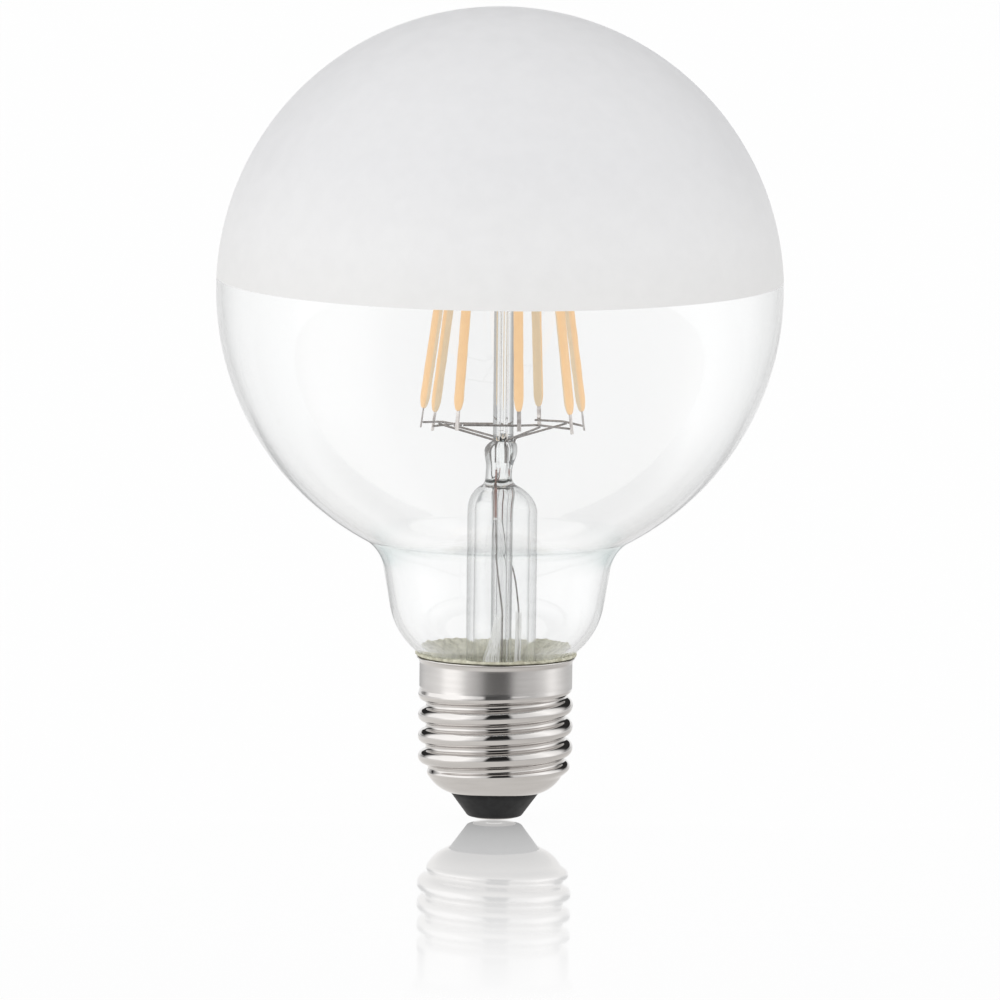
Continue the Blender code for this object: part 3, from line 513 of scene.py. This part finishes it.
quarter = 0.00355 / 4
roll = (quarter ** 2 + 0.000665 ** 2) / (2 * 0.000665)
for vertex in screw_shell.data.vertices:
    radius = math.hypot(vertex.co.x, vertex.co.y)
    height = vertex.co.z
    turns = (height - 0.0190) / 0.00355 - math.atan2(vertex.co.y, vertex.co.x) / (2 * math.pi)
    into_band = eased_share(height, band_foot - 0.0019, band_foot)
    depth_here = eased_share(height, thread_foot - 0.0039, thread_foot - 0.0024) * (1 - into_band)
    off_crest = abs((turns + 0.5) % 1.0 - 0.5) * 4 * quarter
    if off_crest < quarter:
        wave = math.sqrt(roll ** 2 - off_crest ** 2) - roll + 0.000665
    else:
        wave = roll - 0.000665 - math.sqrt(roll ** 2 - (2 * quarter - off_crest) ** 2)
    wider = (0.01245 - thread_mean) * into_band if height < band_foot + 0.0001 else 0.0
    vertex.co.xy *= 1 + (depth_here * wave + wider) / radius
add_wall(screw_shell, 0.00035)
bpy.ops.object.mode_set(mode="EDIT")
bpy.ops.mesh.select_mode(type="FACE")
bpy.ops.mesh.select_all(action="DESELECT")
bpy.ops.object.mode_set(mode="OBJECT")
for face in screw_shell.data.polygons:
    outward = Vector((face.center.x, face.center.y, 0)).normalized()
    face.select = face.center.z > 0.0270 and face.normal.dot(outward * 0.866 + Vector((0, 0, 0.5))) > 0.9
bpy.ops.object.mode_set(mode="EDIT")
bpy.ops.mesh.region_to_loop()
bpy.ops.mesh.bevel(offset=0.00014, segments=3, affect="EDGES")
bpy.ops.mesh.select_mode(type="VERT")
bpy.ops.object.mode_set(mode="OBJECT")
bpy.ops.object.shade_smooth()
nickel = grained("nickel plate", (0.64, 0.62, 0.605), (0.60, 0.58, 0.565), 0.07, 120, 0.02,
                 metallic=1.0, stretch=(1, 1, 8))
tree = nickel.node_tree
shader = tree.nodes["Principled BSDF"]
upright = tree.nodes.new("ShaderNodeSeparateXYZ")
tree.links.new(tree.nodes["Texture Coordinate"].outputs["Object"], upright.inputs[0])
satin = between(tree, upright.outputs["Z"], 0.0220, 0.0224, -0.02, 0.14)
plain_rough = shader.inputs["Roughness"].links[0].from_socket
tree.links.new(sums(tree, "ADD", plain_rough, satin), shader.inputs["Roughness"])
screw_shell.data.materials.append(nickel)
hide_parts("cap_shell")
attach(screw_shell, "root")

# ---- Insulator ----
# Black glassy plug that fills the hole in the bowl, turned in at its foot, with a
# recess for the contact and a flange inside the cap.

start_profile("insulator_plug", 0.0039, 0.0002)
line_to(0.0040, 0.0002)
walk = bend(0.0009, 90, 29.2, 8)
line_to(0.00725, 0.0040, 6)
line_to(0.00725, 0.00511, 2)
line_to(0.00905, 0.0064, 3)
line_to(0.00905, 0.0076, 2)
line_to(0.0014, 0.0076, 4)
line_to(0.0014, 0.0008, 4)
line_to(0.0039, 0.0008, 2)
line_to(0.0039, 0.0002, 1)
plug = finish_spin(96)
black_plug = grained("black plug", (0.024, 0.025, 0.026), (0.017, 0.017, 0.018), 0.5, 700, 0.12)
black_plug.node_tree.nodes["Principled BSDF"].inputs["Specular IOR Level"].default_value = 0.25
plug.data.materials.append(black_plug)
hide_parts("cap_insulator")
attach(plug, "root")

# ---- Centre contact ----
# Nickel-plated disc under the plug, drawn up into an eyelet that holds it there, with
# the solder of its wire slightly domed in the middle.

start_profile("contact_disc", 0.0, 0.0001)
line_to(0.0009, 0.0001)
line_to(0.0012, 0.0, 1)
line_to(0.00345, 0.0, 2)
line_to(0.0036, 0.00015)
line_to(0.0036, 0.0005)
line_to(0.0011, 0.0005, 2)
line_to(0.0011, 0.0084, 4)
line_to(0.00055, 0.0084)
line_to(0.00055, 0.0010, 4)
line_to(0.0, 0.0010)
contact = finish_spin(72)
contact.data.materials.append(nickel)
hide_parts("centre_contact")
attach(contact, "root")

# ---- Driver ----
# A round board across the thread shell with its capacitor, rectifier and chip, and two
# supply wires.  All of it is shut in the cap; the solids keep their shapes.

driver_finishes = {
    "driver_board": grained("circuit board", (0.06, 0.24, 0.11), (0.08, 0.30, 0.13), 0.45, 500, 0.1),
    "smoothing_capacitor": grained("capacitor sleeve", (0.04, 0.05, 0.08), (0.06, 0.07, 0.10), 0.35,
                                   400, 0.05),
    "rectifier": grained("black resin", (0.02, 0.02, 0.02), (0.035, 0.035, 0.035), 0.55, 900, 0.2),
    "contact_wire": grained("copper", (0.72, 0.40, 0.28), (0.62, 0.33, 0.24), 0.3, 800, 0.1,
                            metallic=1.0),
}
driver_finishes["driver_chip"] = driver_finishes["rectifier"]
driver_finishes["shell_wire"] = driver_finishes["contact_wire"]
for node, finish in driver_finishes.items():
    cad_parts[node].material_slots[0].material = finish

# ---- Stem ----
# A flared tube of clear glass, domed and pinched flat while soft round the wires that
# it carries.  Its skirt is fused to the neck; it stands a little to the right.

stem_shift = 0.0008
straight_top = 0.05136
start_profile("stem", 0.0, 0.0556)
line_to(0.0014, 0.0556, 2)
line_to(0.0020, 0.05535, 2)
line_to(0.00257, 0.0548, 2)
walk = bend(0.0039, 118, 180, 14)
line_to(0.00475, 0.02366, 24)
walk = bend(0.0068308, 180, 230, 12)
line_to(0.00829, 0.018427, 3)
walk = bend(0.0068308, -50, 0, 12)
line_to(0.00585, straight_top, 24)
walk = bend(0.0050, 0, -62, 14)
end = profile_end()
walk = bend((end.x - 0.0022) / (1 - math.cos(math.radians(62))), walk, 0, 12)
waist_foot = profile_end().z
line_to(0.0022, waist_foot + 0.00106, 4)
walk = bend(0.0056, 0, 18, 8)
end = profile_end()
walk = bend((0.00275 - end.x) / (1 - math.cos(math.radians(18))), walk, 0, 8)
bulge = profile_end().z
walk = bend(0.0016, 0, -90, 8)
pinch_top = profile_end().z
line_to(0.0, pinch_top, 3)
stem = finish_spin(72)
for vertex in stem.data.vertices:
    for low, high, wide, next_wide, sway, next_sway in (
            (straight_top, waist_foot, 1.0, 1.4545, 0.0, -0.0007),
            (waist_foot, bulge, 1.4545, 1.218, -0.0007, -0.00035),
            (bulge, pinch_top + 0.0001, 1.218, 1.218, -0.00035, 0.0)):
        if low <= vertex.co.z <= high and math.hypot(vertex.co.x, vertex.co.y) > 0.0001:
            part = eased_share(vertex.co.z, low, high)
            vertex.co.y *= wide + (next_wide - wide) * part
            vertex.co.x += sway + (next_sway - sway) * part
            break
    if vertex.co.z > waist_foot - 0.0012:
        around_it = math.degrees(math.atan2(abs(vertex.co.y), vertex.co.x))
        groove = sum(math.exp(-((around_it - middle) / 9) ** 2) for middle in (66, 112))
        groove *= eased_share(vertex.co.z, waist_foot - 0.0012, waist_foot + 0.0008)
        vertex.co.xy *= 1 - 0.13 * groove
    vertex.co.x += stem_shift

# Seen edge-on the flare is tinted grey: painted shade along its edges.
flare_glass = blown_glass("flare glass", 8, (0.42, 0.43, 0.44), 3.0, ((0.0, 1.0), (1.0, 1.0)))
stem.data.materials.append(flare_glass)
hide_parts("stem_flare")
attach(stem, "root")

# ---- Exhaust tube ----
# Thin glass tube under the pinch, through which the air was drawn out and the filling
# gas let in, melted shut at its lower end.

stem_glass = blown_glass("stem glass", 8, (1, 1, 1), 1.0, ((0.0, 0.0), (1.0, 0.0)))
start_profile("exhaust", 0.0, 0.01423)
walk = bend(0.00175, 90, 0, 6)
line_to(0.00175, 0.0555, 24)
line_to(0.0009, 0.0555, 1)
line_to(0.0009, 0.01598, 24)
walk = bend(0.0009, 180, 270, 5)
exhaust = finish_spin(40)
for vertex in exhaust.data.vertices:
    vertex.co.x += stem_shift
exhaust.data.materials.append(stem_glass)
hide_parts("exhaust_tube")
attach(exhaust, "root")

# ---- Centre post ----
# Glass tube on top of the pinch.  Its upper end was melted into a bead, and the four
# anchors were pushed into it while it was soft.

bead = 0.104616
start_profile("post", 0.00173, pinch_top + 0.00005)
line_to(0.00173, bead - math.sqrt(0.0036 ** 2 - 0.00273 ** 2), 30)
bead_turn = math.degrees(math.acos(0.00273 / 0.0036))
walk = bend(0.0010, 0, bead_turn, 6)
walk = bend(0.0026, walk, -90, 20)
line_to(0.0, profile_end().z)
post_top = finish_spin(48)
bpy.ops.object.mode_set(mode="EDIT")
bpy.ops.mesh.select_all(action="DESELECT")
bpy.ops.mesh.select_non_manifold()
bpy.ops.mesh.extrude_region_move(TRANSFORM_OT_translate={"value": (0, 0, 0)})
bpy.ops.transform.resize(value=(0.00052 / 0.00173, 0.00052 / 0.00173, 1), center_override=(0, 0, pinch_top))
for _ in range(20):
    bpy.ops.mesh.extrude_region_move(TRANSFORM_OT_translate={"value": (0, 0, (bead - 0.0036 - pinch_top) / 20)})
bpy.ops.mesh.merge(type="CENTER")
bpy.ops.mesh.select_all(action="SELECT")
bpy.ops.mesh.normals_make_consistent(inside=False)
bpy.ops.object.mode_set(mode="OBJECT")
for vertex in post_top.data.vertices:
    vertex.co.x += stem_shift
post_top.data.materials.append(stem_glass)
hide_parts("centre_post")
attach(post_top, "root")

# ---- Filaments ----
# Each is a thin strip of chips under orange phosphor in clear silicone, round in
# section, with its ends drawn in over the pins.  The chips' side faces outwards.

phosphor = bpy.data.materials.new("phosphor")
phosphor.use_nodes = True
tree = phosphor.node_tree
shader = tree.nodes["Principled BSDF"]
shader.inputs["Roughness"].default_value = 0.38
shader.inputs["Coat Weight"].default_value = 0.2
# The strips glow faintly in their coat's own colour: painted light.
shader.inputs["Emission Strength"].default_value = 0.22
where = tree.nodes.new("ShaderNodeTexCoord").outputs["Object"]
from_axis = tree.nodes.new("ShaderNodeMapping")
from_axis.inputs["Location"].default_value = (-stem_shift, 0, 0)
from_axis.inputs["Scale"].default_value = (1, 1, 0)
outwards = tree.nodes.new("ShaderNodeVectorMath")
outwards.operation = "NORMALIZE"
skin = tree.nodes.new("ShaderNodeNewGeometry")
side = tree.nodes.new("ShaderNodeVectorMath")
side.operation = "DOT_PRODUCT"
fleck = tree.nodes.new("ShaderNodeGroup")
fleck.node_tree = grain
fleck.inputs["Scale"].default_value = 700
fleck.inputs["Bump"].default_value = 0.15
tree.links.new(where, from_axis.inputs["Vector"])
tree.links.new(from_axis.outputs["Vector"], outwards.inputs[0])
tree.links.new(outwards.outputs["Vector"], side.inputs[0])
tree.links.new(skin.outputs["Normal"], side.inputs[1])
tree.links.new(where, fleck.inputs["Vector"])
faces_out = between(tree, side.outputs["Value"], -0.45, 0.15, easing="SMOOTHSTEP")
coat = blend(tree, (0.82, 0.66, 0.45), (1.00, 0.66, 0.35), faces_out)
coat = blend(tree, coat, fleck.outputs["Mask"], 0.12, "MULTIPLY")
tree.links.new(coat, shader.inputs["Base Color"])
tree.links.new(coat, shader.inputs["Emission Color"])
tree.links.new(fleck.outputs["Normal"], shader.inputs["Normal"])

start_profile("coated_strip", 0.0, -0.0170)
line_to(0.00030, -0.01698, 1)
line_to(0.00050, -0.0167, 1)
line_to(0.00066, -0.0161, 1)
line_to(0.00079, -0.0153, 1)
line_to(0.00082, -0.0146, 1)
line_to(0.00082, 0.0146, 36)
line_to(0.00079, 0.0153, 1)
line_to(0.00066, 0.0161, 1)
line_to(0.00050, 0.0167, 1)
line_to(0.00030, 0.01698, 1)
line_to(0.0, 0.0170, 1)
strip = finish_spin(24)
strip.data.materials.append(phosphor)
strip_ends = {}
for number in range(1, 9):
    corners = [vertex.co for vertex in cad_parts[f"filament_{number}"].data.vertices]
    low = min(corner.z for corner in corners)
    high = max(corner.z for corner in corners)
    feet = [corner for corner in corners if corner.z < low + 0.0004]
    heads = [corner for corner in corners if corner.z > high - 0.0004]
    foot = sum(feet, Vector()) / len(feet)
    head = sum(heads, Vector()) / len(heads)
    along = (head - foot).normalized()
    strip_ends[number] = (foot, head)
    copy = bpy.data.objects.new(f"coated_strip_{number}", strip.data.copy())
    bpy.context.scene.collection.objects.link(copy)
    stand = Matrix.Translation((foot + head) / 2) @ along.to_track_quat("Z", "X").to_matrix().to_4x4()
    copy.data.transform(stand)
    for vertex in copy.data.vertices:
        swell = 0.00005 * noise.noise(Vector((0, number, vertex.co.z * 400)))
        vertex.co += vertex.normal * swell
    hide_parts(f"filament_{number}")
    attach(copy, "root")
bpy.data.objects.remove(strip)

# ---- Pins ----
# Flat nickel pins, pressed on to each end of every strip and spot-welded to the cage.

pin_metal = grained("pin nickel", (0.86, 0.82, 0.79), (0.52, 0.48, 0.46), 0.28, 900, 0.25, metallic=1.0)
for number in range(1, 9):
    for end_name in ("lower", "upper"):
        node = f"filament_{number}_{end_name}_pin"
        pin = bpy.data.objects.new(f"pin_{number}_{end_name}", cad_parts[node].data.copy())
        bpy.context.scene.collection.objects.link(pin)
        bpy.ops.object.select_all(action="DESELECT")
        bpy.context.view_layer.objects.active = pin
        pin.select_set(True)
        bpy.ops.object.mode_set(mode="EDIT")
        bpy.ops.mesh.select_all(action="SELECT")
        bpy.ops.mesh.remove_doubles(threshold=0.00001)
        bpy.ops.mesh.tris_convert_to_quads()
        bpy.ops.mesh.bevel(offset=0.00007, segments=2)
        bpy.ops.object.mode_set(mode="OBJECT")
        middle = sum((vertex.co for vertex in pin.data.vertices), Vector()) / len(pin.data.vertices)
        axis = (strip_ends[number][1] - strip_ends[number][0]).normalized()
        if end_name == "upper":
            axis = -axis
        for vertex in pin.data.vertices:
            if (vertex.co - middle).dot(axis) > 0:
                vertex.co += axis * 0.0005
        pin.data.materials.clear()
        pin.data.materials.append(pin_metal)
        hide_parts(node)
        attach(pin, "root")

# ---- Cage wires ----
# Nickel wires: bars across the feet, supports up from the pinch, links across the heads
# and anchors in the post's bead, spot-welded where they cross.

wire_metal = grained("wire nickel", (0.40, 0.38, 0.37), (0.26, 0.24, 0.23), 0.22, 1200, 0.2, metallic=1.0)


def drawn_wire(name, millimetres, radius, material, rounding=0.5):
    """A wire through points in millimetres, with its corners rounded, as a mesh."""
    points = [Vector(point) / 1000 for point in millimetres]
    path = [points[0]]
    for before, corner, after in zip(points, points[1:], points[2:]):
        cut = min(rounding / 1000, (corner - before).length / 2, (after - corner).length / 2)
        enter = corner + (before - corner).normalized() * cut
        leave_at = corner + (after - corner).normalized() * cut
        for number in range(5):
            t = number / 4
            path.append(enter * (1 - t) ** 2 + corner * 2 * t * (1 - t) + leave_at * t ** 2)
    path.append(points[-1])
    curve = bpy.data.curves.new(name, "CURVE")
    curve.dimensions = "3D"
    curve.bevel_depth = radius
    curve.bevel_resolution = 3
    curve.use_fill_caps = True
    spline = curve.splines.new("POLY")
    spline.points.add(len(path) - 1)
    for point, place_at in zip(spline.points, path):
        point.co = (*place_at, 1)
    drawn = bpy.data.objects.new(name, curve)
    bpy.context.scene.collection.objects.link(drawn)
    bpy.ops.object.select_all(action="DESELECT")
    bpy.context.view_layer.objects.active = drawn
    drawn.select_set(True)
    bpy.ops.object.convert(target="MESH")
    drawn = bpy.context.object
    bpy.ops.object.mode_set(mode="EDIT")
    bpy.ops.mesh.select_all(action="SELECT")
    bpy.ops.mesh.remove_doubles(threshold=0.000005)
    bpy.ops.mesh.normals_make_consistent(inside=False)
    bpy.ops.object.mode_set(mode="OBJECT")
    bpy.ops.object.shade_smooth_by_angle(angle=math.radians(40))
    drawn.data.materials.append(material)
    return drawn


cage = {
    "lower_bar_1": ((-12.6, -0.4, 66.55), (-12.3, -0.92, 66.62), (-9.48, -5.8, 67.33),
                    (-6.54, -10.89, 67.46), (-6.25, -11.41, 67.47)),
    "lower_support_1": ((-0.41, -1.93, 60.09), (-0.41, -1.93, 63.38), (-0.74, -2.08, 63.88),
                        (-9.48, -5.8, 66.85), (-10.01, -6.03, 67.03)),
    "lower_bar_2": ((-10.98, 6.46, 65.02), (-10.46, 6.77, 65.05), (-7.0, 8.8, 65.25),
                    (0.34, 13.13, 64.73), (0.86, 13.43, 64.69)),
    "lower_support_2": ((-0.13, 2.08, 60.09), (-0.13, 2.08, 63.38), (-0.4, 2.35, 63.81),
                        (-7.0, 8.8, 64.77), (-7.43, 9.22, 64.83)),
    "lower_bar_3": ((12.18, -7.02, 66.46), (11.69, -7.34, 66.55), (6.58, -10.73, 67.54),
                    (3.31, -12.89, 67.68), (-5.89, -12.89, 67.68)),
    "lower_support_3": ((1.12, -2.26, 60.09), (1.12, -2.26, 63.38), (1.31, -2.56, 63.89),
                        (6.58, -10.73, 67.06), (6.88, -11.21, 67.25)),
    "lower_bar_4": ((14.02, 2.26, 65.88), (13.65, 2.73, 65.91), (10.88, 6.27, 66.08),
                    (6.56, 11.81, 65.58), (6.19, 12.28, 65.53)),
    "lower_support_4": ((2.67, 1.31, 60.09), (2.67, 1.31, 63.38), (2.99, 1.5, 63.84),
                        (10.88, 6.27, 65.60), (11.39, 6.57, 65.71)),
    "upper_link_1": ((-4.45, -6.05, 105.85), (-3.86, -6.17, 105.87), (-0.59, -6.83, 105.99),
                     (2.68, -7.49, 106.10), (3.27, -7.61, 106.12)),
    "upper_anchor_1": ((0.54, -1.28, 105.31), (0.22, -2.84, 105.31), (-0.71, -7.42, 105.31)),
    "upper_link_2": ((7.39, -4.45, 105.05), (7.52, -3.87, 104.97), (8.05, -1.52, 104.65),
                     (8.59, 0.83, 104.33), (8.72, 1.41, 104.25)),
    "upper_anchor_2": ((2.09, -0.27, 103.97), (3.64, -0.59, 103.97), (8.64, -1.64, 103.97)),
    "upper_link_3": ((5.76, 6.41, 104.08), (5.18, 6.55, 103.99), (2.59, 7.2, 103.58),
                     (-0.01, 7.84, 103.16), (-0.59, 7.98, 103.07)),
    "upper_anchor_3": ((1.05, 1.02, 102.90), (1.5, 2.81, 102.90), (2.73, 7.78, 102.90)),
    "upper_link_4": ((-5.54, 4.93, 103.29), (-5.7, 4.38, 103.48), (-6.34, 2.12, 104.26),
                     (-6.99, -0.13, 105.05), (-7.15, -0.68, 105.24)),
    "upper_anchor_4": ((-0.34, 0.34, 103.58), (-1.98, 0.83, 103.58), (-6.92, 2.29, 103.58)),
}
for node, points in cage.items():
    wire = drawn_wire(node.replace("lower", "foot").replace("upper", "head"), points, 0.00019, wire_metal)
    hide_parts(node)
    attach(wire, "root")

# ---- Seal wires and leads ----
# Copper-sheathed wires that the pinch is sealed round, and the thin nickel leads welded
# to them, which run down beside the exhaust tube to the driver.

# The weld beads are nickel, coloured near-white as a painted highlight on each bead.
weld_painted_highlight = grained("weld bead", (0.96, 0.95, 0.94), (0.90, 0.89, 0.88), 0.25, 900, 0.05, metallic=1.0)
sheath = grained("copper sheath", (0.48, 0.27, 0.23), (0.34, 0.18, 0.15), 0.35, 900, 0.2, metallic=1.0)
for side_name, points in {
        "left": ((-0.27, -2.01, 58.88), (-0.27, -2.01, 50.72)),
        "right": ((0.8, 2.28, 58.88), (0.8, 2.28, 49.78))}.items():
    wire = drawn_wire(f"sealed_wire_{side_name}", points, 0.00019, sheath)
    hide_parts(f"seal_wire_{side_name}")
    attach(wire, "root")

for side_name, points in {
        "left": ((-0.27, -2.01, 50.62), (-0.18, -2.28, 47.79), (-0.05, -2.65, 45.10),
                 (0.13, -2.92, 42.42), (0.4, -3.01, 39.75), (0.73, -3.01, 37.08), (0.96, -3.0, 35.22),
                 (0.96, -3.0, 12.75)),
        "right": ((0.8, 2.28, 49.76), (1.36, 2.33, 47.79), (2.14, 2.37, 45.10), (2.81, 2.23, 42.42),
                  (3.24, 1.72, 39.75), (3.55, 1.03, 37.08), (3.75, 0.52, 35.22), (3.75, 0.52, 12.75))}.items():
    wire = drawn_wire(f"lead_{side_name}", points, 0.00015, wire_metal, 1.0)
    wire.data.materials.append(weld_painted_highlight)
    bpy.ops.object.mode_set(mode="EDIT")
    bpy.ops.mesh.select_all(action="DESELECT")
    bpy.ops.mesh.primitive_ico_sphere_add(subdivisions=3, radius=0.00032,
                                          location=Vector(points[0]) / 1000)
    wire.active_material_index = 1
    bpy.ops.object.material_slot_assign()
    bpy.ops.object.mode_set(mode="OBJECT")
    for face in wire.data.polygons:
        face.use_smooth = True
    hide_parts(f"lead_wire_{side_name}")
    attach(wire, "root")

# ---- Fibre sleeves ----
# Sleeves of woven glass fibre on the leads, in the skirt of the stem.  The left one has
# come undone, and its strands spread as they go down.

strand_white = grained("glass fibre", (0.98, 0.98, 0.97), (0.88, 0.88, 0.87), 0.6, 2500, 0.3)
tree = strand_white.node_tree
shader = tree.nodes["Principled BSDF"]
# The strands glow faintly white: painted light that lifts them out of the shade inside the stem.
shader.inputs["Emission Color"].default_value = (1.0, 1.0, 0.97, 1)
shader.inputs["Emission Strength"].default_value = 0.14
way = tree.nodes.new("ShaderNodeBsdfTransparent")
tree.links.new(laid_over(tree, shader.outputs[0], way.outputs[0], 0.4),
               tree.nodes["Material Output"].inputs["Surface"])
chance = random.Random(4)
for side_name, (x, y, spread_out, count) in {"left": (0.96, -3.0, 1.0, 60),
                                             "right": (3.75, 0.52, 0.12, 26)}.items():
    curve = bpy.data.curves.new(f"fibres_{side_name}", "CURVE")
    curve.dimensions = "3D"
    curve.bevel_depth = 0.00004
    curve.bevel_resolution = 1
    curve.use_fill_caps = True
    for number in range(count):
        angle = 2 * math.pi * number / count
        start = Vector((x + 0.5 * math.cos(angle), y + 0.5 * math.sin(angle),
                        34.9 - 3.5 * chance.random() * spread_out))
        start.x -= 0.75 if side_name == "left" else 0.0
        out = chance.random()
        spline = curve.splines.new("POLY")
        spline.points.add(9)
        for step, point in enumerate(spline.points):
            part = step / 9
            fray = spread_out * min(part / 0.55, 1.15) ** 1.4
            wobble = 0.12 * math.sin(part * 9 + number)
            forwards = chance.random() * 0.1 + 0.4 + 0.4 * math.sin(angle * 3)
            point.co = ((start.x - 2.6 * out * fray + wobble * part) / 1000,
                        (start.y + forwards * fray) / 1000,
                        (start.z + (18.45 - start.z) * part) / 1000, 1)
    fibres = bpy.data.objects.new(f"fibres_{side_name}", curve)
    bpy.context.scene.collection.objects.link(fibres)
    bpy.ops.object.select_all(action="DESELECT")
    bpy.context.view_layer.objects.active = fibres
    fibres.select_set(True)
    bpy.ops.object.convert(target="MESH")
    fibres = bpy.context.object
    fibres.data.materials.append(strand_white)
    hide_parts(f"fibre_sleeve_{side_name}")
    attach(fibres, "root")
